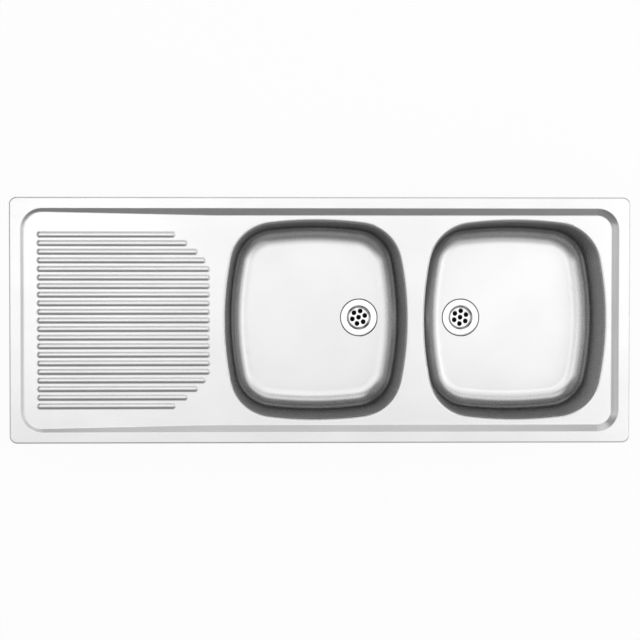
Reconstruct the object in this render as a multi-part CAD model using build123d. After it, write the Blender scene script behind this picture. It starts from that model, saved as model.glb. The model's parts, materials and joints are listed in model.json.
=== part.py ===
from build123d import *
import os
from math import atan, cos, radians, sin, sqrt, tan

# Inset kitchen sink: a pressed deck with a ribbed drainer, two drawn bowls, two wastes and ten fixing clips.
# Millimetres, +Z up. The origin is the middle of the rim seal's underside, which lies on the worktop.
# +X points from the drainer towards the bowls, and +Y to the back.

# Sheet steel and overall size
LENGTH = 1160.0
WIDTH = 460.0
SHEET = 0.8

# Rim, with its outer edge rolled down towards the worktop
RIM_WIDTH = 21.0
RIM_CORNER_R = 14.0
EDGE_R = 3.0
EDGE_GAP = 0.2
SEAL_HEIGHT = 2.2
SEAL_WIDTH = 7.0
SEAL_MARGIN = 1.0

# Step from the rim down to the deck
RECESS_DEPTH = 9.0
STEP_ANGLE = 55.3
STEP_CORNER_R = 40.0
STEP_TOP_R = 3.0
STEP_FOOT_R = 4.0

# Drainer: it falls towards the bowls, and its ribs stand on the slope
DRAINER_RISE = 5.0
BEND_GAP = 15.3
BEND_R = 800.0
RIB_PITCH = 16.0
RIB_VALLEY = 2.5
RIB_HEIGHT = 2.3
RIB_BASE_R = 4.0
RIB_EDGE_INSET = 50.0
RIB_BOWL_GAP = 21.3
RIB_SIDE_MARGIN = 30.0
SETBACK_ROWS = 4
SETBACK = 64.5
SETBACK_POWER = 1.5

# Bowls: every side is a shallow arc, with round corners between
BOWL_LENGTH = 350.7
BOWL_BRIDGE = 22.5
BOWL_STEP_GAP_X = 6.7
BOWL_STEP_GAP_Y = 5.75
BOWL_DEPTH = 150.0
BOWL_SIDE_R = 580.0
BOWL_END_R = 720.0
BOWL_CORNER_R = 90.0
LIP_R = 6.5
LIP_LAND = 1.5
DRAFT = 4.2
FLOOR_R = 34.0

# Waste seat in the bowl floor
SEAT_CLEARANCE = 0.8
SEAT_TOP_R = 1.2
SEAT_FOOT_R = 1.0
SEAT_FLOOR_GAP = 2.9

# Waste: flange, cup, grid and tail
FLANGE_D = 70.0
FLANGE_THICKNESS = 2.2
FLANGE_EDGE_R = 0.9
CUP_MOUTH_D = 46.0
CUP_FLOOR_D = 41.0
CUP_DEPTH = 9.0
CUP_MOUTH_R = 0.8
GRID_THICKNESS = 2.5
GRID_HOLE_D = 9.0
GRID_PCD = 25.0
GRID_HOLES = 6
TAIL_D = 47.8
TAIL_BORE_D = 42.0
TAIL_LENGTH = 75.0
TAIL_CLEARANCE = 0.3
RELIEF_GAP = 1.0
RELIEF_WIDTH = 2.5
RELIEF_DEPTH = 1.2
WASTE_HOLE_CLEARANCE = 1.5
LEFT_GRID_TURN = 15.5
RIGHT_GRID_TURN = 24.0

# Waste seals and backnut
GASKET_THICKNESS = 1.0
GASKET_EDGE = 1.5
WASHER_D = 66.0
SEALING_WASHER_THICKNESS = 4.0
SLIP_WASHER_THICKNESS = 1.5
BACKNUT_HEIGHT = 9.0
BACKNUT_D = 57.0
BACKNUT_LUG_D = 66.0
BACKNUT_LUG_WIDTH = 9.0
BACKNUT_LUGS = 6
BACKNUT_CHAMFER = 1.0

# Sound-deadening pads under the bowls
PAD_LENGTH = 150.0
PAD_WIDTH = 200.0
PAD_THICKNESS = 3.0
PAD_CORNER_R = 15.0
PAD_GAP = 10.0

# Clip brackets under the rim
BRACKET_GAP = 1.0
BRACKET_SHEET = 1.5
BRACKET_WIDTH = 24.0
BRACKET_FLANGE = 7.0
BRACKET_DROP = 27.0
BRACKET_BEND_R = 2.0
BRACKET_TOE = 7.0
SCREW_SETBACK = 12.0

# Clip screw, weld nut, thrust washer and claw
SCREW_D = 6.0
SCREW_CLEARANCE = 0.2
THREAD_CLEARANCE = 0.1
SCREW_TIP_CHAMFER = 0.8
SCREW_OVER_NUT = 1.5
HEAD_D = 11.0
HEAD_HEIGHT = 4.0
HEAD_EDGE_R = 1.5
HEAD_SLOT_WIDTH = 1.6
HEAD_SLOT_DEPTH = 1.8
NUT_ACROSS_FLATS = 10.0
NUT_HEIGHT = 5.0
THRUST_WASHER_D = 14.0
THRUST_WASHER_THICKNESS = 1.2
CLAW_SHEET = 2.0
CLAW_WIDTH = 18.0
CLAW_TAIL = 10.0
CLAW_TAIL_R = 4.5
CLAW_TIP_INSET = 3.0
CLAW_TIP_HEIGHT = 11.5
CLAW_BEND_R = 1.5
CLAW_TOOTH = 3.0
CLAMP_LIFT = 12.0
LIFT_CLEARANCE = 1.5

# Clips spread evenly along each long side, besides one in the middle of each end
CLIPS_PER_SIDE = 4

# How far a cutting or filling solid runs past what it trims
OVERRUN = 5.0

# How near two places count as one when edges are picked
TOUCH = 0.1

# Levels
rim_top = SEAL_HEIGHT + SHEET
deck_top = rim_top - RECESS_DEPTH
floor_top = deck_top - BOWL_DEPTH
seat_depth = FLANGE_THICKNESS + GASKET_THICKNESS
seat_under = floor_top - seat_depth - SHEET
backnut_top = seat_under - SEALING_WASHER_THICKNESS - SLIP_WASHER_THICKNESS

# Step and bowl outlines
step_run = RECESS_DEPTH * tan(radians(STEP_ANGLE))
bowl_half_length = BOWL_LENGTH / 2
bowl_half_width = WIDTH / 2 - RIM_WIDTH - step_run - BOWL_STEP_GAP_Y
right_bowl_x = LENGTH / 2 - RIM_WIDTH - step_run - BOWL_STEP_GAP_X - bowl_half_length
left_bowl_x = right_bowl_x - BOWL_LENGTH - BOWL_BRIDGE
round_run = tan(radians(90 - DRAFT) / 2)
lip_run = LIP_R * round_run
flat_half_length = bowl_half_length - lip_run - BOWL_DEPTH * tan(radians(DRAFT)) - FLOOR_R * round_run

# Waste places and radii
seat_r = FLANGE_D / 2 + SEAT_CLEARANCE
waste_offset = flat_half_length - seat_r - SEAT_FLOOR_GAP
tail_fit_r = TAIL_D / 2 + TAIL_CLEARANCE
waste_hole_r = TAIL_D / 2 + WASTE_HOLE_CLEARANCE

# Drainer slope and rib section: a crest arc that runs into two base arcs
bend_x = left_bowl_x - bowl_half_length - BEND_GAP
slope = atan(DRAINER_RISE / (LENGTH / 2 - RIM_WIDTH + bend_x))
rib_half_base = (RIB_PITCH - RIB_VALLEY) / 2
rib_crest_r = (rib_half_base**2 + RIB_HEIGHT**2) / (2 * RIB_HEIGHT) - RIB_BASE_R
rib_rows = int((bowl_half_width + BOWL_STEP_GAP_Y - RIB_SIDE_MARGIN) / RIB_PITCH)
slope_plane = Plane(
    origin=(bend_x, 0, deck_top),
    x_dir=(cos(slope), 0, -sin(slope)),
    z_dir=(sin(slope), 0, cos(slope)),
)

# Clip levels, measured down from the worktop, with the claw at its lowest
seal_inset = EDGE_R + SEAL_MARGIN
bracket_inset = seal_inset + SEAL_WIDTH + BRACKET_GAP
screw_inset = bracket_inset + SCREW_SETBACK
claw_reach = screw_inset - CLAW_TIP_INSET
nut_base = BRACKET_SHEET - BRACKET_DROP
claw_top = -BRACKET_DROP - LIFT_CLEARANCE - CLAMP_LIFT - CLAW_TIP_HEIGHT + CLAW_SHEET
claw_base = claw_top - CLAW_SHEET
head_top = claw_base - THRUST_WASHER_THICKNESS
screw_tip = nut_base + NUT_HEIGHT + SCREW_OVER_NUT


def prism(outline, low, high):
    """An outline extruded from one level up to another."""
    return extrude(Pos(0, 0, low) * outline, amount=high - low)


def ring(outer_r, inner_r, low, high):
    """A flat round washer between two levels."""
    return prism(Circle(outer_r) - Circle(inner_r), low, high)


def rim_outline(inset):
    """The sink's outer outline, moved inwards."""
    return RectangleRounded(LENGTH - 2 * inset, WIDTH - 2 * inset, max(RIM_CORNER_R - inset, EDGE_R))


def bowl_outline(growth):
    """The lip's outer outline as eight tangent arcs about the bowl's middle, moved outwards by growth."""
    side_centre = Vector(bowl_half_length - BOWL_SIDE_R, 0)
    end_centre = Vector(0, bowl_half_width - BOWL_END_R)
    side_gap = BOWL_SIDE_R - BOWL_CORNER_R
    end_gap = BOWL_END_R - BOWL_CORNER_R
    between = end_centre - side_centre
    along = (side_gap**2 - end_gap**2 + between.length**2) / (2 * between.length)
    across = sqrt(side_gap**2 - along**2)
    ahead = between.normalized()
    corner = side_centre + ahead * along + Vector(-ahead.Y, ahead.X) * across
    to_side = (corner - side_centre).normalized()
    to_end = (corner - end_centre).normalized()
    radius = BOWL_CORNER_R + growth
    side_end = corner + to_side * radius
    middle = corner + (to_side + to_end).normalized() * radius
    end_end = corner + to_end * radius
    side_tip = Vector(bowl_half_length + growth, 0)
    end_tip = Vector(0, bowl_half_width + growth)

    def arc(start, via, end):
        return ThreePointArc(*[(point.X * x, point.Y * y) for point, x, y in (start, via, end)])

    arcs = []
    for turn in (1, -1):
        arcs.append(arc((side_end, turn, -turn), (side_tip, turn, turn), (side_end, turn, turn)))
        arcs.append(arc((side_end, turn, turn), (middle, turn, turn), (end_end, turn, turn)))
        arcs.append(arc((end_end, turn, turn), (end_tip, turn, turn), (end_end, -turn, turn)))
        arcs.append(arc((end_end, -turn, turn), (middle, -turn, turn), (side_end, -turn, turn)))
    return make_face(arcs)


def rib(inset, row):
    """One rib's round bar in the drainer's slope, which lets only its crest show above the deck."""
    rows_out = max(0, abs(row) - (rib_rows - SETBACK_ROWS))
    setback = SETBACK * (rows_out / SETBACK_ROWS) ** SETBACK_POWER
    left = (RIB_EDGE_INSET - LENGTH / 2 - bend_x) / cos(slope) + rib_half_base
    right = (BEND_GAP - RIB_BOWL_GAP - setback) / cos(slope) - rib_half_base
    radius = rib_crest_r - inset
    level = RIB_HEIGHT - rib_crest_r
    place = Pos(0, row * RIB_PITCH, level)
    bar = place * Pos((left + right) / 2, 0, 0) * Rot(0, 90, 0) * Cylinder(radius, right - left)
    ends = [place * Pos(x, 0, 0) * Sphere(radius) for x in (left, right)]
    return slope_plane * (bar + ends)


def deck_air(inset):
    """The open space above the deck and inside the step, down to a skin moved inwards through the sheet."""
    lean = radians(STEP_ANGLE)
    growth = inset * (1 - sin(lean)) / cos(lean) + OVERRUN * tan(lean)
    mouth = RectangleRounded(
        LENGTH - 2 * RIM_WIDTH + 2 * growth,
        WIDTH - 2 * RIM_WIDTH + 2 * growth,
        STEP_CORNER_R + growth,
    )
    mouth_level = rim_top - inset + OVERRUN
    funnel = extrude(Pos(0, 0, mouth_level) * mouth, amount=-(RECESS_DEPTH + 2 * OVERRUN), taper=STEP_ANGLE)
    bend = Vector(bend_x - inset * tan(slope / 2), deck_top - inset)
    profile = Polyline(
        bend,
        (LENGTH, bend.Y),
        (LENGTH, LENGTH),
        (-LENGTH, LENGTH),
        (-LENGTH, bend.Y + (LENGTH + bend.X) * tan(slope)),
        close=True,
    )
    side = make_face(profile)
    side = fillet(side.vertices().sort_by_distance(bend)[0], BEND_R + inset)
    air = funnel & extrude(Plane.XZ * side, amount=WIDTH, both=True)
    foot = [edge for edge in air.edges() if max(end.Z for end in edge.vertices()) < rim_top - inset]
    air = fillet(foot, STEP_FOOT_R + inset)
    air -= [rib(inset, row) for row in range(-rib_rows, rib_rows + 1)]
    return fillet(rib_foot_edges(air, inset), RIB_BASE_R + inset)


def rib_foot_edges(air, inset):
    """The edges where the ribs meet the drainer's slope."""
    half_field = rib_rows * RIB_PITCH + rib_half_base
    edges = []
    for edge in air.edges():
        place = slope_plane.to_local_coords(edge.position_at(0.5))
        on_slope = abs(place.Z + inset) < TOUCH
        if on_slope and abs(place.Y) < half_field and edge.center().X > RIB_EDGE_INSET - LENGTH / 2:
            edges.append(edge)
    return edges


def under_deck(inset):
    """All that lies under the deck's top skin, with that skin moved inwards through the sheet."""
    base = deck_top - SHEET - OVERRUN - inset
    body = prism(rim_outline(inset), base, rim_top - inset)
    body = fillet(body.faces().sort_by(Axis.Z)[-1].edges(), EDGE_R - inset)
    body -= deck_air(inset)
    rim = body.faces().sort_by(Axis.Z)[-1]
    return fillet(rim.inner_wires()[0].edges(), STEP_TOP_R - inset)


def make_deck_panel():
    """The pressed deck sheet, with its two bowl cut-outs."""
    sheet = under_deck(0) - under_deck(SHEET)
    skirt = Rectangle(LENGTH + OVERRUN, WIDTH + OVERRUN) - rim_outline(seal_inset)
    sheet -= prism(skirt, deck_top - SHEET - 2 * OVERRUN, EDGE_GAP)
    cutout = prism(bowl_outline(LIP_LAND), deck_top - OVERRUN, rim_top)
    return sheet - [Pos(x, 0, 0) * cutout for x in (left_bowl_x, right_bowl_x)]


def bowl_air(inset, waste_x):
    """The open space in a bowl and its waste seat, out to a skin moved inwards through the sheet."""
    wall = bowl_outline(inset / cos(radians(DRAFT)) - lip_run)
    air = extrude(Pos(0, 0, deck_top) * wall, amount=-(BOWL_DEPTH + inset), taper=DRAFT)
    air = fillet(air.faces().sort_by(Axis.Z)[0].edges(), FLOOR_R + inset)
    floor = floor_top - inset
    air += Pos(waste_x, 0, 0) * prism(Circle(seat_r + inset), floor - seat_depth, floor)
    flat_floor = air.faces().filter_by(Plane.XY).sort_by(Axis.Z)[1]
    air = fillet(flat_floor.inner_wires()[0].edges(), SEAT_TOP_R - inset)
    seat = air.faces().filter_by(Plane.XY).sort_by(Axis.Z)[0]
    return fillet(seat.edges(), SEAT_FOOT_R + inset)


def under_bowl(inset, waste_x):
    """All that lies under a bowl's skin, with that skin moved inwards through the sheet."""
    body = prism(bowl_outline(LIP_LAND), seat_under - OVERRUN - inset, deck_top - inset)
    body -= bowl_air(inset, waste_x)
    lip = body.faces().sort_by(Axis.Z)[-1]
    return fillet(lip.inner_wires()[0].edges(), LIP_R - inset)


def make_bowl(waste_x):
    """A drawn bowl about its own middle: a flat lip to weld, a rounded floor and a pierced seat."""
    sheet = under_bowl(0, waste_x) - under_bowl(SHEET, waste_x)
    return sheet - Pos(waste_x, 0, 0) * prism(Circle(waste_hole_r), seat_under - OVERRUN, floor_top)


def make_sound_pad(waste_x):
    """A stuck-on pad under the bowl's flat floor, beside the waste's washers."""
    side = -1 if waste_x > 0 else 1
    middle = waste_x + side * (WASHER_D / 2 + PAD_GAP + PAD_LENGTH / 2)
    pad = RectangleRounded(PAD_LENGTH, PAD_WIDTH, PAD_CORNER_R)
    return Pos(middle, 0, 0) * prism(pad, floor_top - SHEET - PAD_THICKNESS, floor_top - SHEET)


def make_waste_body(grid_turn):
    """Flange, cup, grid and tail in one piece about the waste's axis, with the flange flush in the floor."""
    flange_under = floor_top - FLANGE_THICKNESS
    cup_floor = floor_top - CUP_DEPTH
    grid_under = cup_floor - GRID_THICKNESS
    relief_top = backnut_top - BACKNUT_HEIGHT - RELIEF_GAP
    relief_end = relief_top - RELIEF_WIDTH
    tail_end = floor_top - TAIL_LENGTH
    section = Polyline(
        (0, cup_floor),
        (CUP_FLOOR_D / 2, cup_floor),
        (CUP_MOUTH_D / 2, floor_top),
        (FLANGE_D / 2, floor_top),
        (FLANGE_D / 2, flange_under),
        (TAIL_D / 2, flange_under),
        (TAIL_D / 2, relief_top),
        (TAIL_D / 2 - RELIEF_DEPTH, relief_top),
        (TAIL_D / 2 - RELIEF_DEPTH, relief_end),
        (TAIL_D / 2, relief_end),
        (TAIL_D / 2, tail_end),
        (TAIL_BORE_D / 2, tail_end),
        (TAIL_BORE_D / 2, grid_under),
        (0, grid_under),
        close=True,
    )
    face = make_face(section)
    face = fillet(face.vertices().sort_by_distance((FLANGE_D / 2, floor_top))[0], FLANGE_EDGE_R)
    face = fillet(face.vertices().sort_by_distance((CUP_MOUTH_D / 2, floor_top))[0], CUP_MOUTH_R)
    body = revolve(Plane.XZ * face, Axis.Z)
    holes = [Pos(0, 0, 0)] + list(PolarLocations(GRID_PCD / 2, GRID_HOLES, start_angle=grid_turn))
    drill = prism(Circle(GRID_HOLE_D / 2), grid_under - OVERRUN, cup_floor + OVERRUN)
    return body - [place * drill for place in holes]


def make_flange_gasket():
    """The thin gasket between the waste's flange and its seat."""
    outer_r = FLANGE_D / 2 - GASKET_EDGE
    return ring(outer_r, tail_fit_r, floor_top - seat_depth, floor_top - FLANGE_THICKNESS)


def make_sealing_washer():
    """The rubber washer under the bowl floor."""
    return ring(WASHER_D / 2, tail_fit_r, seat_under - SEALING_WASHER_THICKNESS, seat_under)


def make_slip_washer():
    """The washer on which the backnut turns."""
    return ring(WASHER_D / 2, tail_fit_r, backnut_top, backnut_top + SLIP_WASHER_THICKNESS)


def make_backnut():
    """A round backnut with lugs to grip."""
    base = backnut_top - BACKNUT_HEIGHT
    lugs = [Rot(0, 0, turn * 180 / BACKNUT_LUGS) * Rectangle(BACKNUT_LUG_D, BACKNUT_LUG_WIDTH)
            for turn in range(0, BACKNUT_LUGS, 2)]
    outline = (Circle(BACKNUT_D / 2) + lugs) & Circle(BACKNUT_LUG_D / 2)
    nut = prism(outline, base, backnut_top)
    nut = chamfer(nut.faces().sort_by(Axis.Z)[0].edges(), BACKNUT_CHAMFER)
    return nut - prism(Circle(tail_fit_r), base - OVERRUN, backnut_top + OVERRUN)


def make_rim_seal():
    """The foam strip under the rim, on which the sink lies."""
    return prism(rim_outline(seal_inset) - rim_outline(seal_inset + SEAL_WIDTH), 0, SEAL_HEIGHT)


# Each clip is made about its screw's axis, with the rim's edge towards +Y.


def make_bracket():
    """A bent strip welded under the rim, whose lower leg carries the weld nut."""
    outer = SCREW_SETBACK
    leg = outer - BRACKET_SHEET
    toe = -BRACKET_TOE
    path = Polyline(
        (outer - BRACKET_FLANGE, SEAL_HEIGHT),
        (outer, SEAL_HEIGHT),
        (outer, -BRACKET_DROP),
        (toe, -BRACKET_DROP),
        (toe, nut_base),
        (leg, nut_base),
        (leg, SEAL_HEIGHT - BRACKET_SHEET),
        (outer - BRACKET_FLANGE, SEAL_HEIGHT - BRACKET_SHEET),
        close=True,
    )
    face = make_face(path)
    bends = face.vertices()
    outside = [bends.sort_by_distance((outer, level))[0] for level in (SEAL_HEIGHT, -BRACKET_DROP)]
    face = fillet(outside, BRACKET_BEND_R)
    bends = face.vertices()
    inside = [bends.sort_by_distance((leg, level))[0] for level in (SEAL_HEIGHT - BRACKET_SHEET, nut_base)]
    face = fillet(inside, BRACKET_BEND_R - BRACKET_SHEET)
    strip = extrude(Plane.YZ * face, amount=BRACKET_WIDTH / 2, both=True)
    hole = prism(Circle(SCREW_D / 2 + SCREW_CLEARANCE), -BRACKET_DROP - OVERRUN, nut_base + OVERRUN)
    return strip - hole


def make_weld_nut():
    """The hexagon nut welded on the bracket's lower leg."""
    outline = RegularPolygon(NUT_ACROSS_FLATS / 2, 6, major_radius=False)
    return prism(outline - Circle(SCREW_D / 2 + THREAD_CLEARANCE), nut_base, nut_base + NUT_HEIGHT)


def make_claw():
    """The bent claw: a base plate on the screw, and an upturned, toothed tip for the worktop's underside."""
    tip_top = claw_base + CLAW_TIP_HEIGHT
    profile = Polyline(
        (-CLAW_TAIL, claw_base),
        (claw_reach, claw_base),
        (claw_reach, tip_top),
        (claw_reach - CLAW_SHEET, tip_top),
        (claw_reach - CLAW_SHEET, claw_top),
        (-CLAW_TAIL, claw_top),
        close=True,
    )
    face = make_face(profile)
    face = fillet(face.vertices().sort_by_distance((claw_reach, claw_base))[0], CLAW_BEND_R + CLAW_SHEET)
    face = fillet(face.vertices().sort_by_distance((claw_reach - CLAW_SHEET, claw_top))[0], CLAW_BEND_R)
    claw = extrude(Plane.YZ * face, amount=CLAW_WIDTH / 2, both=True)
    tail_edges = claw.edges().filter_by(Axis.Z).group_by(Axis.Y)[0]
    claw = fillet(tail_edges, CLAW_TAIL_R)
    notch = make_face(
        Polyline((-CLAW_TOOTH, tip_top), (CLAW_TOOTH, tip_top), (0, tip_top - CLAW_TOOTH), close=True)
    )
    claw -= extrude(Plane.XZ * notch, amount=-claw_reach - OVERRUN)
    return claw - prism(Circle(SCREW_D / 2 + SCREW_CLEARANCE), claw_base - OVERRUN, claw_top + OVERRUN)


def make_thrust_washer():
    """The washer between the screw's head and the claw."""
    return ring(THRUST_WASHER_D / 2, SCREW_D / 2 + SCREW_CLEARANCE, head_top, claw_base)


def make_screw():
    """The clamping screw, head down, with its tip in the weld nut."""
    head = prism(Circle(HEAD_D / 2), head_top - HEAD_HEIGHT, head_top)
    head = fillet(head.faces().sort_by(Axis.Z)[0].edges(), HEAD_EDGE_R)
    slot = prism(
        Rectangle(HEAD_D, HEAD_SLOT_WIDTH),
        head_top - HEAD_HEIGHT - OVERRUN,
        head_top - HEAD_HEIGHT + HEAD_SLOT_DEPTH,
    )
    shank = prism(Circle(SCREW_D / 2), head_top, screw_tip)
    shank = chamfer(shank.faces().sort_by(Axis.Z)[-1].edges(), SCREW_TIP_CHAMFER)
    return head + shank - slot


def clip_places():
    """Each clip's name and place: along the back, along the front and at both ends."""
    pitch = LENGTH / CLIPS_PER_SIDE
    depth = WIDTH / 2 - screw_inset
    reach = LENGTH / 2 - screw_inset
    places = {}
    for number in range(1, CLIPS_PER_SIDE + 1):
        spot = (number - 0.5) * pitch - LENGTH / 2
        places[f"rear_{number}"] = Pos(spot, depth, 0)
        places[f"front_{number}"] = Pos(spot, -depth, 0) * Rot(0, 0, 180)
    places["left"] = Pos(-reach, 0, 0) * Rot(0, 0, 90)
    places["right"] = Pos(reach, 0, 0) * Rot(0, 0, -90)
    return places


parts = {"deck_panel": make_deck_panel(), "rim_seal": make_rim_seal()}

for side, bowl_x, waste_x, grid_turn in (
    ("left", left_bowl_x, waste_offset, LEFT_GRID_TURN),
    ("right", right_bowl_x, -waste_offset, RIGHT_GRID_TURN),
):
    at_bowl = Pos(bowl_x, 0, 0)
    at_waste = Pos(bowl_x + waste_x, 0, 0)
    parts[f"{side}_bowl"] = at_bowl * make_bowl(waste_x)
    parts[f"{side}_sound_pad"] = at_bowl * make_sound_pad(waste_x)
    parts[f"{side}_waste_body"] = at_waste * make_waste_body(grid_turn)
    parts[f"{side}_flange_gasket"] = at_waste * make_flange_gasket()
    parts[f"{side}_sealing_washer"] = at_waste * make_sealing_washer()
    parts[f"{side}_slip_washer"] = at_waste * make_slip_washer()
    parts[f"{side}_backnut"] = at_waste * make_backnut()

clips = clip_places()
bracket = make_bracket()
nut = make_weld_nut()
parts["clip_brackets"] = Compound(children=[place * bracket for place in clips.values()])
parts["weld_nuts"] = Compound(children=[place * nut for place in clips.values()])
claw = make_claw()
washer = make_thrust_washer()
screw = make_screw()
for name, place in clips.items():
    parts[f"clip_claw_{name}"] = place * claw
    parts[f"clip_washer_{name}"] = place * washer
    parts[f"clip_screw_{name}"] = place * screw

os.makedirs("parts", exist_ok=True)
for name, shape in parts.items():
    export_step(shape, f"parts/{name}.step")
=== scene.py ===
"""Looks of an inset kitchen sink: finishes, fine pieces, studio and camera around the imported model."""

from __future__ import annotations

import json
import logging
import math
from dataclasses import dataclass
from enum import Enum
from typing import Any

import bmesh
import bpy
from mathutils import Matrix, Vector

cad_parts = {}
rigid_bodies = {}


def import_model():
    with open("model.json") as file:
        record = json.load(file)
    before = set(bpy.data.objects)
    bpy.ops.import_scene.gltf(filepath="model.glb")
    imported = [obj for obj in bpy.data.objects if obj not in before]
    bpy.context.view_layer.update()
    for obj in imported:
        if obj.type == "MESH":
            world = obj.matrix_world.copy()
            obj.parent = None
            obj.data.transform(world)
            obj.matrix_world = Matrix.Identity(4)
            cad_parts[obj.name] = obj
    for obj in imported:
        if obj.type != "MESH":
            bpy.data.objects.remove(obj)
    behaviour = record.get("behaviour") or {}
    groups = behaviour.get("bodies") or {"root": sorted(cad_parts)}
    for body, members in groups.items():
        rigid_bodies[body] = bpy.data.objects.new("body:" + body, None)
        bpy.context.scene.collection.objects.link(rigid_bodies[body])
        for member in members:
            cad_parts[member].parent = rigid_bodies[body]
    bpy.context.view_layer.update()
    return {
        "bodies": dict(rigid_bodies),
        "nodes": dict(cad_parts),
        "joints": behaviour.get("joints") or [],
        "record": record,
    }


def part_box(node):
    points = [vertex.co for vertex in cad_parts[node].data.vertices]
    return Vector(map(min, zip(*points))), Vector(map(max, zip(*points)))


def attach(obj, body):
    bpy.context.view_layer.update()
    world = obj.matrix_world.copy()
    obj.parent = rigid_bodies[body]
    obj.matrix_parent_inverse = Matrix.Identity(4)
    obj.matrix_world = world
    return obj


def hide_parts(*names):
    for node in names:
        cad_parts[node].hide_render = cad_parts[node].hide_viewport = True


LOG = logging.getLogger("sink")
SINK_BODY = "sink"
CLIP_NAMES = (*(f"rear_{n}" for n in range(1, 5)), *(f"front_{n}" for n in range(1, 5)), "left", "right")
# How far each waste's ring of holes is turned, in degrees.
GRID_TURNS = {"left": 15.5, "right": 24.0}

MM = 0.001
MICRON = 1e-6
# Points nearer than this are one point.
WELD = 1e-6
# Edges that bend by more than this stay crisp.
SHARP = math.radians(35)
# Faces across the rounding of a sheet's corner, of a turned or soft edge, and of a small edge.
CORNER_STEPS, EDGE_STEPS, FINE_STEPS = 8, 4, 2

# A noise's values lie mostly between these.
NOISE_LOW, NOISE_HIGH = 0.3, 0.7
# How far light goes into a milky plastic.
SCATTER = 2 * MM
WHITE = "#ffffff"

# Panels beside the sink: their distance from its middle, and their width and height.
STAND_OFF = 2.4
STANDING_SIZE = (1.6, 0.75)
# Panels over the sink: their height over the rim, and their sides.
CEILING = 1.6
OVERHEAD_SIZE = (0.6, 0.6)

Links = dict[str | int, bpy.types.NodeSocket]


def linear(hex_colour: str) -> tuple[float, float, float, float]:
    """Turns an sRGB hex colour to linear light.

    Args:
        hex_colour: Six hex digits after a hash sign.

    Returns:
        Linear red, green and blue, and an alpha of 1.
    """
    shares = [int(hex_colour[at : at + 2], 16) / 255 for at in (1, 3, 5)]
    return (*(s / 12.92 if s <= 0.04045 else ((s + 0.055) / 1.055) ** 2.4 for s in shares), 1.0)


def add(
    tree: bpy.types.NodeTree,
    kind: str,
    values: dict[str | int, Any] | None = None,
    links: Links | None = None,
    **settings: Any,
) -> bpy.types.Node:
    """Adds a node to a tree.

    Args:
        tree: The tree that takes the node.
        kind: The node's type, without its leading ShaderNode.
        values: Values of unlinked inputs, by name or number.
        links: Sockets of other nodes that feed inputs, by name or number.
        **settings: The node's own properties.

    Returns:
        The new node.
    """
    node = tree.nodes.new("ShaderNode" + kind)
    for key, value in settings.items():
        setattr(node, key, value)
    for key, value in (values or {}).items():
        node.inputs[key].default_value = value
    for key, socket in (links or {}).items():
        tree.links.new(socket, node.inputs[key])
    return node


def blank_material(name: str) -> tuple[bpy.types.Material, bpy.types.NodeTree]:
    """Makes a material with an empty node tree.

    Args:
        name: The finish's name.

    Returns:
        The material and its tree.
    """
    material = bpy.data.materials.new(name)
    material.use_nodes = True
    material.node_tree.nodes.clear()
    return material, material.node_tree


def per_metre(sizes_mm: tuple[float, float, float]) -> tuple[float, float, float]:
    """Gives the texture scale at which a pattern has these sizes along X, Y and Z."""
    return tuple(1 / (size * MM) for size in sizes_mm)


@dataclass(frozen=True)
class Pattern:
    """A noise that makes a surface uneven.

    Attributes:
        size_mm: Length of its lumps or scratches along X, Y and Z.
        depth_um: How deep it shows in the relief.
        detail: Finer octaves in it.
    """

    size_mm: tuple[float, float, float]
    depth_um: float
    detail: float = 2.0

    def noise(self, tree: bpy.types.NodeTree, place: bpy.types.NodeSocket) -> bpy.types.NodeSocket:
        """Adds the pattern's noise to a tree.

        Args:
            tree: The material's tree.
            place: Object coordinates.

        Returns:
            The noise's value.
        """
        spot = add(tree, "Mapping", {"Scale": per_metre(self.size_mm)}, {"Vector": place})
        texture = add(tree, "TexNoise", {"Scale": 1.0, "Detail": self.detail}, {"Vector": spot.outputs[0]})
        return texture.outputs[0]

    def relief(
        self,
        tree: bpy.types.NodeTree,
        height: bpy.types.NodeSocket,
        under: bpy.types.NodeSocket | None = None,
    ) -> bpy.types.NodeSocket:
        """Adds the pattern's relief to a tree.

        Args:
            tree: The material's tree.
            height: The pattern's noise.
            under: A relief that this one lies on.

        Returns:
            The bumped normal.
        """
        links: Links = {"Height": height}
        if under is not None:
            links["Normal"] = under
        bump = add(tree, "Bump", {"Strength": 1.0, "Distance": self.depth_um * MICRON}, links)
        return bump.outputs[0]


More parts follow.
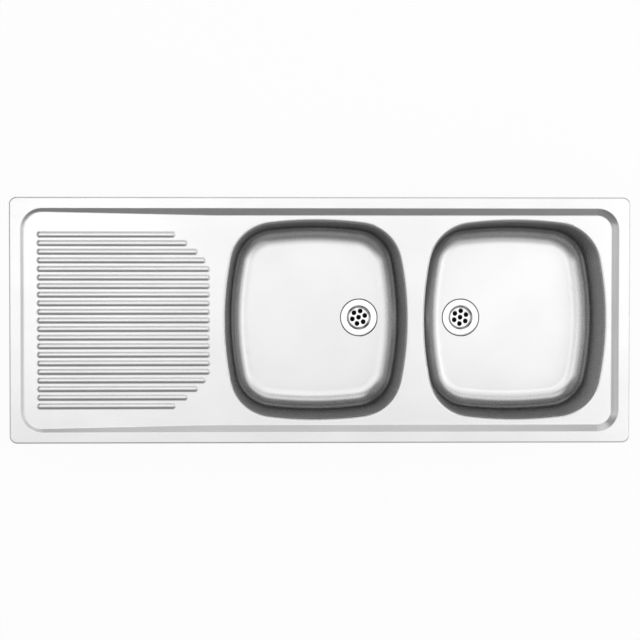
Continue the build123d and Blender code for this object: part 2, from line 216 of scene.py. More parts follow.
@dataclass(frozen=True)
class Finish:
    """A finish whose colour, gloss and relief vary a little over the surface.

    Attributes:
        name: The real material and how its surface was made.
        dark: Colour of the darker places.
        light: Colour of the lighter places.
        smooth: Roughness of the smoother places.
        rough: Roughness of the rougher places.
        fine: The surface's own grain.
        broad: The slow unevenness under the grain.
        metallic: 1 for a bare metal, 0 for anything else.
        anisotropy: How far highlights are drawn out across lengthwise scratches.
        specular: Specular level of a finish that isn't metal.
        subsurface: How far light goes into the finish.
        edge: Tint of what it mirrors at a grazing angle.
    """

    name: str
    dark: str
    light: str
    smooth: float
    rough: float
    fine: Pattern
    broad: Pattern
    metallic: float = 0.0
    anisotropy: float = 0.0
    specular: float = 0.5
    subsurface: float = 0.0
    edge: str = "#ffffff"

    def material(self) -> bpy.types.Material:
        """Makes the finish's material.

        Returns:
            A procedural material on Object coordinates.
        """
        material, tree = blank_material(self.name)
        place = add(tree, "TexCoord").outputs["Object"]
        grain = self.fine.noise(tree, place)
        waves = self.broad.noise(tree, place)
        # A Mix node's inputs go by number: 0 is the factor, 2 and 3 are its floats, 6 and 7 its colours.
        shade = add(tree, "Mix", {0: 0.5}, {2: waves, 3: grain}).outputs[0]
        shades = {6: linear(self.dark), 7: linear(self.light)}
        colour = add(tree, "Mix", shades, {0: shade}, data_type="RGBA")
        spread = {"From Min": NOISE_LOW, "From Max": NOISE_HIGH, "To Min": self.smooth, "To Max": self.rough}
        gloss = add(tree, "MapRange", spread, {"Value": grain})
        relief = self.fine.relief(tree, grain, self.broad.relief(tree, waves))
        values = {
            "Metallic": self.metallic,
            "Anisotropic": self.anisotropy,
            "Specular IOR Level": self.specular,
            "Specular Tint": linear(self.edge),
            "Subsurface Weight": self.subsurface,
            "Subsurface Scale": SCATTER,
        }
        links = {"Base Color": colour.outputs[2], "Roughness": gloss.outputs[0], "Normal": relief}
        if self.anisotropy:
            links["Tangent"] = add(tree, "Tangent", direction_type="RADIAL", axis="X").outputs[0]
        shader = add(tree, "BsdfPrincipled", values, links)
        add(tree, "OutputMaterial", links={"Surface": shader.outputs[0]})
        return material


class Finishes(Enum):
    """The sink's finishes, by what they cover."""

    # Sheet rubbed lengthwise on a fine belt: a soft, pale mirror with scratches along X. The real grain is a
    # tenth of a millimetre wide, and is drawn ten times as coarse so that it shows.
    DECK = Finish(
        "linished_stainless_sheet", "#c2c2c2", "#dcdcdc", 0.29, 0.37,
        Pattern((60.0, 1.0, 1.0), 0.2), Pattern((160.0, 110.0, 110.0), 8.0), metallic=1.0, anisotropy=0.45,
    )
    # Sheet stretched over a punch and satin polished: the same steel with a finer, less directed bloom.
    BOWL = Finish(
        "satin_drawn_stainless", "#bfbfbf", "#d3d3d3", 0.26, 0.30,
        Pattern((1.2, 1.2, 6.0), 0.3), Pattern((90.0, 90.0, 60.0), 8.0), metallic=1.0, edge="#8c8c8c",
    )
    # Turned and buffed steel: nearly a mirror, with the faint haze that a cloth wheel leaves.
    WASTE = Finish(
        "buffed_stainless", "#d4d4d4", "#dadada", 0.10, 0.16,
        Pattern((2.0, 2.0, 2.0), 0.3), Pattern((25.0, 25.0, 25.0), 1.0), metallic=1.0,
    )
    # Zinc on pressed strip: bluish, cloudy and a little dull, with a crystal bloom of a few millimetres.
    PLATED = Finish(
        "bright_zinc_plated_strip", "#a3a9ae", "#b9bdbf", 0.28, 0.46,
        Pattern((1.5, 1.5, 1.5), 1.5, 3.0), Pattern((8.0, 8.0, 8.0), 2.0), metallic=1.0,
    )
    # Closed-cell EPDM strip: dark grey and dead matt, with cells just under a millimetre.
    FOAM = Finish(
        "closed_cell_epdm_foam", "#353638", "#444548", 0.85, 0.97,
        Pattern((0.8, 0.8, 0.8), 120.0, 3.0), Pattern((30.0, 30.0, 30.0), 60.0), specular=0.2,
    )
    # Filled bitumen sheet, rolled while warm: black-brown, matt and slightly gritty.
    BITUMEN = Finish(
        "rolled_bitumen_sheet", "#1d1b1a", "#2b2927", 0.6, 0.85,
        Pattern((1.0, 1.0, 1.0), 60.0, 3.0), Pattern((40.0, 40.0, 40.0), 100.0), specular=0.35,
    )
    # Moulded nitrile rubber: black with the grey bloom that it sweats out.
    RUBBER = Finish(
        "moulded_nitrile_rubber", "#141414", "#242424", 0.5, 0.66,
        Pattern((0.9, 0.9, 0.9), 12.0), Pattern((12.0, 12.0, 12.0), 20.0), specular=0.4,
    )
    # Injection-moulded polypropylene: milky, waxy and a little see-through, with the mould's spark-eroded
    # texture.
    PLASTIC = Finish(
        "moulded_polypropylene", "#d9d8d0", "#e2e1da", 0.38, 0.5,
        Pattern((0.7, 0.7, 0.7), 14.0), Pattern((18.0, 18.0, 18.0), 25.0), subsurface=0.15,
    )


@dataclass
class Dressing:
    """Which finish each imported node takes.

    Attributes:
        frame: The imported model, as it was loaded.
    """

    frame: dict[str, Any]

    def by_slot(self) -> dict[str, Finishes]:
        """Gives the finish of each of the record's material slots."""
        return {
            "deck_steel": Finishes.DECK,
            "bowl_steel": Finishes.BOWL,
            "waste_steel": Finishes.WASTE,
            "plated_steel": Finishes.PLATED,
            "seal_foam": Finishes.FOAM,
            "pad_bitumen": Finishes.BITUMEN,
            "gasket_rubber": Finishes.RUBBER,
            "nut_plastic": Finishes.PLASTIC,
        }

    def dress(self) -> dict[str, bpy.types.Material]:
        """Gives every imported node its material.

        Returns:
            The material of each slot.
        """
        made = {slot: finish.value.material() for slot, finish in self.by_slot().items()}
        for part in self.frame["record"]["subparts"]:
            node = self.frame["nodes"][part["node"]]
            node.data.materials.clear()
            node.data.materials.append(made[part["material_slot"]])
            LOG.info("dressed %s in %s", part["node"], part["material_slot"])
        return made


class Rounded(Enum):
    """What a rounding follows."""

    EDGES = "EDGES"
    CORNERS = "VERTICES"


def soften(bm: bmesh.types.BMesh, geom: list[Any], offset: float, steps: int, what: Rounded) -> None:
    """Rounds edges or corners of a shape.

    Args:
        bm: The shape.
        geom: The edges or corners.
        offset: How far from them the rounding starts, in millimetres.
        steps: Faces across the rounding.
        what: Which of the two they are.
    """
    bmesh.ops.bevel(
        bm, geom=geom, offset=offset * MM, segments=steps, profile=0.5, affect=what.value, material=-1
    )


def rounded_sheet(low: Vector, high: Vector, corner: float) -> bmesh.types.BMesh:
    """Makes a flat rectangle with round corners, level with the top of a box.

    Args:
        low: The box's lowest corner.
        high: The box's highest corner.
        corner: Radius of the round corners, in millimetres.

    Returns:
        The rectangle, as one face.
    """
    bm = bmesh.new()
    spots = ((low[0], low[1]), (high[0], low[1]), (high[0], high[1]), (low[0], high[1]))
    corners = [bm.verts.new((x, y, high[2])) for x, y in spots]
    bmesh.ops.contextual_create(bm, geom=corners)
    soften(bm, corners, corner, CORNER_STEPS, Rounded.CORNERS)
    return bm


@dataclass(frozen=True)
class Corner:
    """A corner of a turned section, in millimetres.

    Attributes:
        radius: Its distance from the axis.
        level: Its height.
        rounding: The radius that it is rounded to.
    """

    radius: float
    level: float
    rounding: float = 0.0


def turned(corners: tuple[Corner, ...], steps: int) -> bmesh.types.BMesh:
    """Turns a section about Z, leaving out the line from its last corner to its first.

    Args:
        corners: The section's corners, in order.
        steps: Faces round the axis.

    Returns:
        The turned shell.
    """
    bm = bmesh.new()
    verts = [bm.verts.new((c.radius * MM, 0.0, c.level * MM)) for c in corners]
    bm.faces.new(verts)
    closing = bm.edges.get((verts[-1], verts[0]))
    for vert, corner in zip(verts, corners):
        if corner.rounding:
            soften(bm, [vert], corner.rounding, EDGE_STEPS, Rounded.CORNERS)
    bmesh.ops.delete(bm, geom=bm.faces[:], context="FACES_ONLY")
    bmesh.ops.delete(bm, geom=[closing], context="EDGES")
    line = [*bm.verts, *bm.edges]
    bmesh.ops.spin(bm, geom=line, cent=(0, 0, 0), axis=(0, 0, 1), angle=math.tau, steps=steps, use_merge=True)
    bmesh.ops.remove_doubles(bm, verts=bm.verts, dist=WELD)
    return bm


@dataclass(frozen=True)
class Thread:
    """The ridge of a right-hand screw thread, in millimetres, which stands on a plain core.

    Attributes:
        crest: Its outer radius.
        root: The core's radius.
        pitch: Its rise in a turn.
        top: Level where it starts.
        bottom: Level where it ends.
        steps: Faces in a turn.
        sunk: How far its foot goes into the core.
        half_root: Half its width at the foot, as a share of the pitch.
        half_crest: Half its width at the crest, as a share of the pitch.
    """

    crest: float
    root: float
    pitch: float
    top: float
    bottom: float
    steps: int = 48
    sunk: float = 0.08
    half_root: float = 0.48
    half_crest: float = 0.08

    def ridge(self) -> bmesh.types.BMesh:
        """Winds the ridge, with ends that run out into the core.

        Returns:
            The closed ridge.
        """
        bm = bmesh.new()
        inner = self.root - self.sunk
        section = (
            (inner, self.half_root), (self.crest, self.half_crest),
            (self.crest, -self.half_crest), (inner, -self.half_root),
        )
        level = self.top - self.half_root * self.pitch
        verts = [bm.verts.new((r * MM, 0.0, (level + rise * self.pitch) * MM)) for r, rise in section]
        edges = [bm.edges.new(pair) for pair in zip(verts, verts[1:] + verts[:1])]
        turns = (self.top - self.bottom) / self.pitch - 2 * self.half_root
        count = round(turns * self.steps)
        wound = bmesh.ops.spin(
            bm, geom=verts + edges, cent=(0, 0, 0), axis=(0, 0, 1),
            dvec=(0, 0, -self.pitch / self.steps * MM), angle=-math.tau * count / self.steps, steps=count,
        )["geom_last"]
        last = [part for part in wound if isinstance(part, bmesh.types.BMEdge)]
        bmesh.ops.contextual_create(bm, geom=edges)
        bmesh.ops.contextual_create(bm, geom=last)
        share = inner / self.crest
        ends = verts + [part for part in wound if isinstance(part, bmesh.types.BMVert)]
        bmesh.ops.scale(bm, vec=(share, share, 1.0), verts=ends)
        return bm


def joined(parts: list[bmesh.types.BMesh]) -> bmesh.types.BMesh:
    """Puts shells together in one bmesh, welding the points that they share.

    Args:
        parts: The shells, which are used up.

    Returns:
        One bmesh with all of them.
    """
    whole = bmesh.new()
    for part in parts:
        mesh = bpy.data.meshes.new("part")
        part.to_mesh(mesh)
        part.free()
        whole.from_mesh(mesh)
        bpy.data.meshes.remove(mesh)
    bmesh.ops.remove_doubles(whole, verts=whole.verts, dist=WELD)
    return whole


@dataclass
class Bench:
    """Where finished shapes become pieces of the sink.

    Attributes:
        made: The material of each of the record's slots.
    """

    made: dict[str, bpy.types.Material]

    def settle(
        self, bm: bmesh.types.BMesh, name: str, node: str, slot: str, body: str = SINK_BODY
    ) -> bpy.types.Object:
        """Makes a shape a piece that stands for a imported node.

        Args:
            bm: The shape, which is used up.
            name: The piece's name.
            node: The node that it stands for.
            slot: The record's slot that it takes its finish from.
            body: The body that it rides on.

        Returns:
            The piece.
        """
        bmesh.ops.recalc_face_normals(bm, faces=bm.faces)
        mesh = bpy.data.meshes.new(name)
        bm.to_mesh(mesh)
        bm.free()
        mesh.materials.append(self.made[slot])
        mesh.shade_smooth()
        mesh.set_sharp_from_angle(angle=SHARP)
        piece = bpy.data.objects.new(name, mesh)
        bpy.context.scene.collection.objects.link(piece)
        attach(piece, body)
        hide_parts(node)
        LOG.info("made %s for %s, %d faces", name, node, len(mesh.polygons))
        return piece


def middle(low: Vector, high: Vector) -> Vector:
    """Gives the middle of a box."""
    return (Vector(low) + Vector(high)) / 2


@dataclass
class Waste:
    """A sink waste in one piece: flange, cup, grid and threaded tail.

    Sizes are in millimetres, and levels are depths below the flange's top.

    Attributes:
        side: Which bowl it drains.
        grid_turn_deg: The turn of its ring of holes.
        flange_r: The flange's radius, with its depth and the roundings of its upper and lower edge.
        mouth_r: The cup's radius at its mouth, with the rounding there.
        cup_r: The cup's radius at its floor, with its depth and the rounding there.
        grid_r: Radius of the grid in the cup's floor, with its thickness.
        hole_r: Radius of a hole, with that of the ring of holes and their number.
        tail_r: The tail's radius over the thread.
        root_r: The tail's radius between the thread's turns.
        bore_r: The tail's inner radius.
        relief: Level where the plain neck ends, with its taper and rounding.
        thread_top: Level where the thread starts.
        thread_end: How far from the tail's end the thread stops.
        tail: Level of the tail's end, with the rounding there.
        pitch: The thread's pitch.
        steps: Faces round the axis.
        hole_steps: Faces round a hole.
        hole_section: A hole's edge, as radii past the hole's own and depths.
    """

    side: str
    grid_turn_deg: float
    flange_r: float = 35.0
    flange_depth: float = 2.2
    flange_edge: float = 0.9
    flange_lip: float = 0.2
    mouth_r: float = 23.0
    mouth_edge: float = 0.8
    cup_r: float = 20.5
    cup_depth: float = 9.0
    cup_edge: float = 2.8
    grid_r: float = 17.6
    grid_depth: float = 2.5
    hole_r: float = 4.5
    hole_ring_r: float = 12.5
    hole_count: int = 6
    tail_r: float = 23.9
    root_r: float = 22.4
    bore_r: float = 21.0
    relief: float = 19.5
    relief_taper: float = 1.0
    relief_edge: float = 0.4
    thread_top: float = 22.0
    thread_end: float = 0.5
    tail: float = 75.0
    tail_edge: float = 0.3
    pitch: float = 2.309
    steps: int = 96
    hole_steps: int = 32
    hole_section: tuple[tuple[float, float], ...] = ((0.40, 0.0), (0.12, 0.12), (0.0, 0.40), (0.0, 2.5))

    def shell(self) -> bmesh.types.BMesh:
        """Turns the flange, cup and tail, open where the grid comes."""
        under = self.cup_depth + self.grid_depth
        corners = (
            Corner(self.grid_r, -self.cup_depth), Corner(self.cup_r, -self.cup_depth, self.cup_edge),
            Corner(self.mouth_r, 0.0, self.mouth_edge), Corner(self.flange_r, 0.0, self.flange_edge),
            Corner(self.flange_r, -self.flange_depth, self.flange_lip),
            Corner(self.tail_r, -self.flange_depth), Corner(self.tail_r, -self.relief, self.relief_edge),
            Corner(self.root_r, -self.relief - self.relief_taper),
            Corner(self.root_r, -self.tail, self.tail_edge), Corner(self.bore_r, -self.tail, self.tail_edge),
            Corner(self.bore_r, -under), Corner(self.grid_r, -under),
        )
        return turned(corners, self.steps)

    def grid(self) -> bmesh.types.BMesh:
        """Makes the grid, with a softened edge round the top of each hole.

        Returns:
            The grid, open at its rim.
        """
        bm = bmesh.new()
        start, share = math.radians(self.grid_turn_deg), math.tau / self.hole_count
        turns = [start + share * n for n in range(self.hole_count)]
        out = self.hole_ring_r
        spots = [(0.0, 0.0), *((out * math.cos(turn), out * math.sin(turn)) for turn in turns)]
        faces = {0.0: [], self.grid_depth: []}
        for depth, edges in faces.items():
            edges += self.ring(bm, 0.0, 0.0, self.grid_r, depth, self.steps)
        for x, y in spots:
            rings = [
                self.ring(bm, x, y, self.hole_r + past, depth, self.hole_steps)
                for past, depth in self.hole_section
            ]
            faces[0.0] += rings[0]
            faces[self.grid_depth] += rings[-1]
            for upper, lower in zip(rings, rings[1:]):
                bmesh.ops.bridge_loops(bm, edges=upper + lower)
        for edges in faces.values():
            bmesh.ops.triangle_fill(bm, use_beauty=True, edges=edges)
        return bm

    def ring(
        self, bm: bmesh.types.BMesh, x: float, y: float, radius: float, depth: float, steps: int
    ) -> list[bmesh.types.BMEdge]:
        """Draws a circle at a depth below the grid's top.

        Args:
            bm: The bmesh that takes it.
            x: Its middle along X.
            y: Its middle along Y.
            radius: Its radius.
            depth: Its depth.
            steps: Its number of edges.

        Returns:
            Its edges.
        """
        place = Matrix.Translation(Vector((x, y, -self.cup_depth - depth)) * MM)
        verts = bmesh.ops.create_circle(bm, segments=steps, radius=radius * MM, matrix=place)["verts"]
        return list(dict.fromkeys(edge for vert in verts for edge in vert.link_edges))

    def build(self, bench: Bench) -> None:
        """Makes the waste in its bowl's seat."""
        node = f"{self.side}_waste_body"
        low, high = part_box(node)
        thread = Thread(self.tail_r, self.root_r, self.pitch, -self.thread_top, -self.tail + self.thread_end)
        bm = joined([self.shell(), self.grid(), thread.ridge()])
        spot = middle(low, high)
        bmesh.ops.translate(bm, verts=bm.verts, vec=(spot.x, spot.y, high[2]))
        bench.settle(bm, f"{self.side}_grid_waste", node, "waste_steel")


@dataclass
class ClampScrew:
    """A slotted M6 clamp screw, which is driven from below. Sizes are in millimetres, from its tip down.

    Attributes:
        length: From tip to head.
        crest_r: Radius over the thread.
        root_r: Radius between the thread's turns.
        pitch: The thread's pitch.
        tip: Length of the tapered tip, with how much it narrows.
        thread_start: How far from the tip the thread starts.
        thread_end: How far from the head the thread stops.
        head_r: The head's radius.
        head_depth: Height of the head.
        head_edge: Rounding of the head's outer edge.
        head_lip: Rounding of the head's inner edge.
        slot_half: Half the driver slot's width.
        slot_depth: The driver slot's depth.
        steps: Faces round the axis.
        thread_steps: Faces in a turn of the thread.
    """

    length: float = 34.2
    crest_r: float = 3.0
    root_r: float = 2.42
    pitch: float = 1.0
    tip: float = 0.8
    tip_taper: float = 0.4
    thread_start: float = 0.3
    thread_end: float = 1.5
    head_r: float = 5.5
    head_depth: float = 4.0
    head_edge: float = 1.5
    head_lip: float = 0.2
    slot_half: float = 0.8
    slot_depth: float = 1.8
    steps: int = 48
    thread_steps: int = 24

    def blank(self) -> bmesh.types.BMesh:
        """Turns the core and the head."""
        end = -self.length - self.head_depth
        corners = (
            Corner(0.0, 0.0), Corner(self.root_r - self.tip_taper, 0.0),
            Corner(self.root_r, -self.tip), Corner(self.root_r, -self.length),
            Corner(self.head_r, -self.length, self.head_lip), Corner(self.head_r, end, self.head_edge),
            Corner(0.0, end),
        )
        return turned(corners, self.steps)

    def cut_slot(self, bm: bmesh.types.BMesh) -> None:
        """Cuts the driver slot across the head."""
        half, floor = self.slot_half * MM, (-self.length - self.head_depth + self.slot_depth) * MM
        cuts = (((0, half, 0), (0, 1, 0)), ((0, -half, 0), (0, 1, 0)), ((0, 0, floor), (0, 0, 1)))
        for place, way in cuts:
            whole = [*bm.verts, *bm.edges, *bm.faces]
            bmesh.ops.bisect_plane(bm, geom=whole, dist=WELD, plane_co=place, plane_no=way)
        spots = {face: face.calc_center_median() for face in bm.faces}
        gone = [face for face, spot in spots.items() if abs(spot.y) < half and spot.z < floor]
        bmesh.ops.delete(bm, geom=gone, context="FACES")
        rim = [edge for edge in bm.edges if edge.is_boundary]
        for at in (half, -half):
            wall = [edge for edge in rim if all(abs(vert.co.y - at) < WELD for vert in edge.verts)]
            verts = dict.fromkeys(vert for edge in wall for vert in edge.verts)
            ends = [vert for vert in verts if sum(edge in wall for edge in vert.link_edges) == 1]
            line = bmesh.ops.contextual_create(bm, geom=ends)["edges"]
            bmesh.ops.contextual_create(bm, geom=[*wall, *line])
        bmesh.ops.contextual_create(bm, geom=[edge for edge in bm.edges if edge.is_boundary])

    def build(self, bench: Bench) -> None:
        """Makes the ten clips' screws."""
        blank = self.blank()
        self.cut_slot(blank)
        thread = Thread(
            self.crest_r, self.root_r, self.pitch, -self.thread_start, -self.length + self.thread_end,
            self.thread_steps,
        )
        whole = joined([blank, thread.ridge()])
        for name in CLIP_NAMES:
            node = f"clip_screw_{name}"
            low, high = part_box(node)
            spot = middle(low, high)
            bm = whole.copy()
            bmesh.ops.translate(bm, verts=bm.verts, vec=(spot.x, spot.y, high[2]))
            bench.settle(bm, f"slotted_screw_{name}", node, "plated_steel", f"screw_{name}")
        whole.free()


@dataclass
class RimSeal:
    """The foam strip that is stuck under the rim. Sizes are in millimetres.

    Attributes:
        width: The strip's width.
        corner: Its outer radius at the sink's corners.
        crown: The rounding of its underside.
        fill: How tight the foam is.
        upright: A face whose normal rises by less than this is a side.
    """

    width: float = 7.0
    corner: float = 10.0
    # fill: How tight the foam is. It is not used.
    crown: float = 1.1
    fill: float = 0.9
    upright: float = 0.5

    def build(self, bench: Bench) -> None:
        """Makes the strip."""
        low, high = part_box("rim_seal")
        bm = rounded_sheet(low, high, self.corner)
        inside = bm.faces[:]
        strip = bmesh.ops.inset_region(
            bm, faces=inside, thickness=self.width * MM, use_even_offset=True, use_boundary=True
        )["faces"]
        bmesh.ops.delete(bm, geom=inside, context="FACES")
        drawn = bmesh.ops.extrude_face_region(bm, geom=strip)["geom"]
        lower = [part for part in drawn if isinstance(part, bmesh.types.BMVert)]
        bmesh.ops.translate(bm, verts=lower, vec=(0, 0, low[2] - high[2]))
        under = [edge for edge in bm.edges if all(abs(vert.co.z - low[2]) < WELD for vert in edge.verts)]
        closed = [edge for edge in under if len(edge.link_faces) == 2]
        edges = [e for e in closed if any(abs(face.normal.z) < self.upright for face in e.link_faces)]
        bmesh.ops.recalc_face_normals(bm, faces=bm.faces)
        soften(bm, edges, self.crown, EDGE_STEPS, Rounded.EDGES)
        piece = bench.settle(bm, "foam_rim_strip", "rim_seal", "seal_foam")


@dataclass
class SoundPad:
    """A bitumen pad with rolled-in studs, under a bowl's floor. Sizes are in millimetres.

    Attributes:
        side: Which bowl it is under.
        corner: Radius of its corners.
        edge: Rounding of its lower edge.
        stud: Side of a stud.
        gap: Width of the channels between studs.
        border: The plain edge round the studs.
        relief: How far the studs stand out.
        stud_edge: Rounding of a stud's edge.
    """

    side: str
    corner: float = 15.0
    edge: float = 0.6
    stud: float = 13.0
    gap: float = 2.5
    border: float = 7.0
    relief: float = 0.5
    stud_edge: float = 0.4

    def plate(self, low: Vector, high: Vector) -> bmesh.types.BMesh:
        """Makes the sheet itself.

        Args:
            low: The pad's lowest corner.
            high: The pad's highest corner.

        Returns:
            The sheet, as thick as the pad less its studs.
        """
        bm = rounded_sheet(low, high, self.corner)
        drawn = bmesh.ops.extrude_face_region(bm, geom=bm.faces[:])["geom"]
        lower = [part for part in drawn if isinstance(part, bmesh.types.BMVert)]
        bmesh.ops.translate(bm, verts=lower, vec=(0, 0, low[2] - high[2] + self.relief * MM))
        bmesh.ops.recalc_face_normals(bm, faces=bm.faces)
        rim = [edge for edge in bm.edges if all(vert in lower for vert in edge.verts)]
        soften(bm, rim, self.edge, FINE_STEPS, Rounded.EDGES)
        return bm

    def studs(self, low: Vector, high: Vector) -> bmesh.types.BMesh:
        """Makes the rows of studs on the sheet's underside.

        Args:
            low: The pad's lowest corner.
            high: The pad's highest corner.

        Returns:
            The studs, sunk a little into the sheet.
        """
        bm = bmesh.new()
        depth = 2 * self.relief * MM
        bmesh.ops.create_cube(bm, size=1.0)
        bmesh.ops.scale(bm, vec=(self.stud * MM, self.stud * MM, depth), verts=bm.verts)
        rim = [edge for edge in bm.edges if all(vert.co.z < 0 for vert in edge.verts)]
        soften(bm, rim, self.stud_edge, FINE_STEPS, Rounded.EDGES)
        pitch = (self.stud + self.gap) * MM
        room = [high[axis] - low[axis] - 2 * self.border * MM + self.gap * MM for axis in (0, 1)]
        counts = [int(space / pitch) for space in room]
        for axis, count in enumerate(counts):
            row = bm.faces[:]
            for n in range(1, count):
                copied = bmesh.ops.duplicate(bm, geom=row)["geom"]
                verts = [part for part in copied if isinstance(part, bmesh.types.BMVert)]
                step = [0.0, 0.0, 0.0]
                step[axis] = n * pitch
                bmesh.ops.translate(bm, verts=verts, vec=step)
        spot = middle(low, high)
        away = [spot[axis] - (counts[axis] - 1) * pitch / 2 for axis in (0, 1)]
        bmesh.ops.translate(bm, verts=bm.verts, vec=(*away, low[2] + depth / 2))
        return bm

    def build(self, bench: Bench) -> None:
        """Makes the pad."""
        node = f"{self.side}_sound_pad"
        low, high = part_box(node)
        bm = joined([self.plate(low, high), self.studs(low, high)])
        bench.settle(bm, f"{self.side}_studded_pad", node, "pad_bitumen")


@dataclass(frozen=True)
class Softbox:
    """An evenly bright panel that lights the sink and shows in its steel.

    Attributes:
        name: The panel's name.
        place: Its middle, in metres.
        aim: The point that it faces, in metres.
        size: Its width and height, in metres.
        brightness: Its radiance, where 1 makes a white mirror white.
    """

    name: str
    place: tuple[float, float, float]
    aim: tuple[float, float, float]
    size: tuple[float, float]
    brightness: float

    @classmethod
    def standing(cls, name: str, bearing_deg: float, height_deg: float, brightness: float) -> Softbox:
        """Makes a panel that stands beside the sink and faces it.

        Args:
            name: The panel's name.
            bearing_deg: Its bearing, from +X towards +Y.
            height_deg: Its height over the horizon.
            brightness: Its radiance.

        Returns:
            The panel.
        """
        bearing, height = math.radians(bearing_deg), math.radians(height_deg)
        flat = math.cos(height)
        way = Vector((flat * math.cos(bearing), flat * math.sin(bearing), math.sin(height)))
        return cls(name, tuple(STAND_OFF * way), (0.0, 0.0, 0.0), STANDING_SIZE, brightness)

    @classmethod
    def overhead(cls, name: str, x: float, y: float, brightness: float) -> Softbox:
        """Makes a panel that hangs over a point of the sink and faces down.

        Args:
            name: The panel's name.
            x: The point along X, in metres.
            y: The point along Y, in metres.
            brightness: Its radiance.

        Returns:
            The panel.
        """
        return cls(name, (x, y, CEILING), (x, y, 0.0), OVERHEAD_SIZE, brightness)

    def hang(self) -> None:
        """Adds the panel's lamp to the scene."""
        lamp = bpy.data.lights.new(self.name, "AREA")
        lamp.shape = "RECTANGLE"
        lamp.size, lamp.size_y = self.size
        lamp.energy = self.brightness * math.pi * self.size[0] * self.size[1]
        holder = bpy.data.objects.new(self.name, lamp)
        bpy.context.scene.collection.objects.link(holder)
        turn = (Vector(self.aim) - Vector(self.place)).to_track_quat("-Z", "Y").to_matrix().to_4x4()
        holder.matrix_world = Matrix.Translation(self.place) @ turn
        holder.visible_camera = False


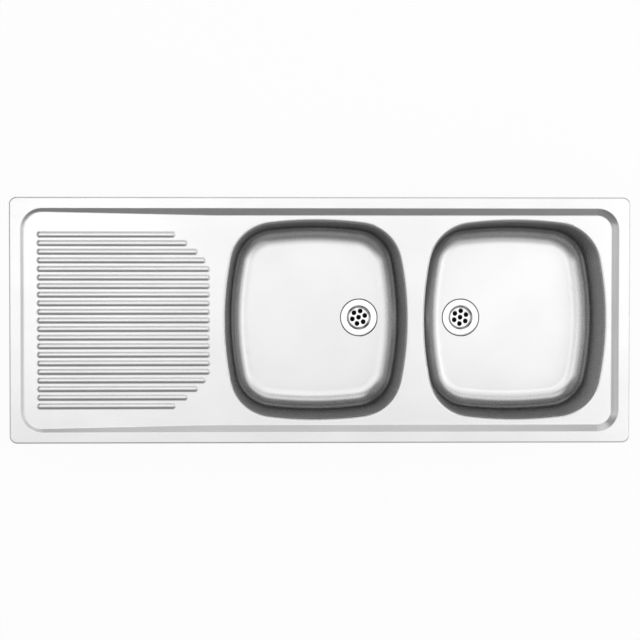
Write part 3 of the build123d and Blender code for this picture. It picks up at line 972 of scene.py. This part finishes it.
@dataclass
class Studio:
    """The floor, the lights and the camera.

    Attributes:
        floor_level: Height of the floor, where the waste tails stand.
        floor_half: Half the floor's side.
        paper: The floor's colour.
        contact: How far from the object the floor's contact shadow reaches.
        contact_power: How quickly that shadow fades.
        whiteness: How much of the floor's colour, where it is seen, is plain white.
        sensor: Width of the camera's sensor, in millimetres.
        lens: Focal length, in millimetres, on a sensor as wide as the picture.
        far: How far the camera sees.
        stand: Where the camera stands.
        turns_deg: The camera's turns about Y, X and Z, starting from a look straight down.
        room: Brightness of the whole dome.
        horizon: What the dome adds at the horizon, and the power by which that fades upwards.
        dome: What the dome adds overhead, and the power by which that fades downwards.
        zenith: What a narrower patch overhead adds, and the power by which that fades downwards.
        panels: The soft boxes.
    """

    floor_level: float = -0.2315
    floor_half: float = 30.0
    paper: str = "#f2f2f2"
    contact: float = 0.08
    contact_power: float = 2.0
    whiteness: float = 0.94
    sensor: float = 36.0
    lens: float = 134.0
    far: float = 100.0
    stand: tuple[float, float, float] = (-0.1511, 0.1580, 4.4453)
    turns_deg: tuple[float, float, float] = (-1.926, -2.026, 0.042)
    room: float = 0.1
    horizon: float = 0.5
    horizon_power: float = 4.0
    dome: float = 0.4
    dome_power: float = 2.0
    zenith: float = 0.75
    zenith_power: float = 12.0
    panels: tuple[Softbox, ...] = (
        Softbox.overhead("over_drainer", -0.6, 0.0, 0.9),
        Softbox.overhead("over_drainer_rear", -0.6, 0.6, 0.8),
        Softbox.overhead("over_middle", 0.0, 0.0, 0.4),
        Softbox.overhead("over_middle_rear", 0.0, 0.6, 1.0),
        Softbox.overhead("over_middle_front", 0.0, -0.6, 0.3),
        Softbox.overhead("over_bowls", 0.6, 0.0, 0.7),
        Softbox.overhead("over_bowls_rear", 0.6, 0.6, 0.5),
        Softbox.overhead("over_end", 1.2, 0.0, 0.6),
        Softbox.standing("low_right", 0, 10, 1.7),
        Softbox.standing("low_rear", 90, 26, 0.3),
        Softbox.standing("right", 0, 36, 0.8),
        Softbox.standing("rear_right", 45, 36, 0.9),
        Softbox.standing("rear", 90, 36, 1.0),
        Softbox.standing("left", 180, 36, 0.7),
        Softbox.standing("front_right", 315, 36, 0.3),
        Softbox.standing("high_right", 0, 54, 0.9),
        Softbox.standing("high_rear_right", 45, 54, 0.4),
        Softbox.standing("high_rear", 90, 54, 0.3),
        Softbox.standing("high_left", 180, 54, 0.9),
        Softbox.standing("high_front_right", 315, 54, 0.5),
    )

    def lay_floor(self) -> None:
        """Lays a white floor that keeps a contact shadow."""
        bm = bmesh.new()
        bmesh.ops.create_grid(bm, x_segments=1, y_segments=1, size=self.floor_half)
        bmesh.ops.translate(bm, verts=bm.verts, vec=(0, 0, self.floor_level))
        mesh = bpy.data.meshes.new("floor")
        bm.to_mesh(mesh)
        bm.free()
        floor = bpy.data.objects.new("floor", mesh)
        bpy.context.scene.collection.objects.link(floor)
        material, tree = blank_material("matt_white_paper")
        path = add(tree, "LightPath").outputs
        seen = path["Is Camera Ray"]
        for ray in ("Is Glossy Ray", "Is Transmission Ray"):
            seen = add(tree, "Math", links={0: seen, 1: path[ray]}, operation="MAXIMUM").outputs[0]
        nearby = add(tree, "AmbientOcclusion", {"Color": linear(self.paper), "Distance": self.contact})
        clear = add(tree, "Math", {1: self.contact_power}, {0: nearby.outputs["AO"]}, operation="POWER")
        share = add(tree, "Math", links={0: seen, 1: clear.outputs[0]}, operation="MULTIPLY")
        held = add(tree, "Math", {1: self.whiteness}, {0: share.outputs[0]}, operation="MULTIPLY")
        matt = add(tree, "BsdfDiffuse", links={"Color": nearby.outputs["Color"]})
        glow = add(tree, "Emission", {"Color": linear(WHITE), "Strength": 1.0})
        both = add(tree, "MixShader", links={0: held.outputs[0], 1: matt.outputs[0], 2: glow.outputs[0]})
        add(tree, "OutputMaterial", links={"Surface": both.outputs[0]})
        mesh.materials.append(material)

    def light(self) -> None:
        """Hangs the panels and sets the dome around them, which the camera itself sees as white."""
        for panel in self.panels:
            panel.hang()
        world = bpy.data.worlds.new("studio")
        bpy.context.scene.world = world
        world.use_nodes = True
        tree = world.node_tree
        tree.nodes.clear()
        way = add(tree, "SeparateXYZ", links={0: add(tree, "TexCoord").outputs["Generated"]})
        up = add(tree, "Math", {1: 0.0}, {0: way.outputs["Z"]}, operation="MAXIMUM")
        low = add(tree, "Math", {0: 1.0}, {1: up.outputs[0]}, operation="SUBTRACT")
        band = add(tree, "Math", {1: self.horizon_power}, {0: low.outputs[0]}, operation="POWER")
        edge = {1: self.horizon, 2: self.room}
        level = add(tree, "Math", edge, {0: band.outputs[0]}, operation="MULTIPLY_ADD")
        for share, power in ((self.dome, self.dome_power), (self.zenith, self.zenith_power)):
            glow = add(tree, "Math", {1: power}, {0: up.outputs[0]}, operation="POWER")
            sums = {0: glow.outputs[0], 2: level.outputs[0]}
            level = add(tree, "Math", {1: share}, sums, operation="MULTIPLY_ADD")
        room = add(tree, "Background", {"Color": linear(WHITE)}, {"Strength": level.outputs[0]})
        white = add(tree, "Background", {"Color": linear(WHITE), "Strength": 1.0})
        seen = add(tree, "LightPath").outputs["Is Camera Ray"]
        both = add(tree, "MixShader", links={0: seen, 1: room.outputs[0], 2: white.outputs[0]})
        add(tree, "OutputWorld", links={"Surface": both.outputs[0]})

    def stand_camera(self) -> None:
        """Stands the camera where the photograph was taken from, nearly straight above."""
        camera = bpy.data.cameras.new("camera")
        camera.sensor_width = self.sensor
        camera.lens = self.lens
        camera.clip_end = self.far
        holder = bpy.data.objects.new("camera", camera)
        bpy.context.scene.collection.objects.link(holder)
        turn = Matrix.Identity(4)
        for angle, axis in zip(self.turns_deg, "YXZ"):
            turn = turn @ Matrix.Rotation(math.radians(angle), 4, axis)
        holder.matrix_world = Matrix.Translation(self.stand) @ turn
        bpy.context.scene.camera = holder

    def build(self) -> None:
        """Sets up the whole studio."""
        self.lay_floor()
        self.light()
        self.stand_camera()
        bpy.context.scene.view_settings.view_transform = "Standard"


def main() -> None:
    """Builds the sink's looks in order."""
    logging.basicConfig(level=logging.INFO, format="%(name)s: %(message)s")
    for leftover in list(bpy.data.objects):
        bpy.data.objects.remove(leftover)
    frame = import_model()
    Studio().build()
    bench = Bench(Dressing(frame).dress())
    RimSeal().build(bench)
    ClampScrew().build(bench)
    for side, turn in GRID_TURNS.items():
        Waste(side, turn).build(bench)
        SoundPad(side).build(bench)


if __name__ == "__main__":
    main()
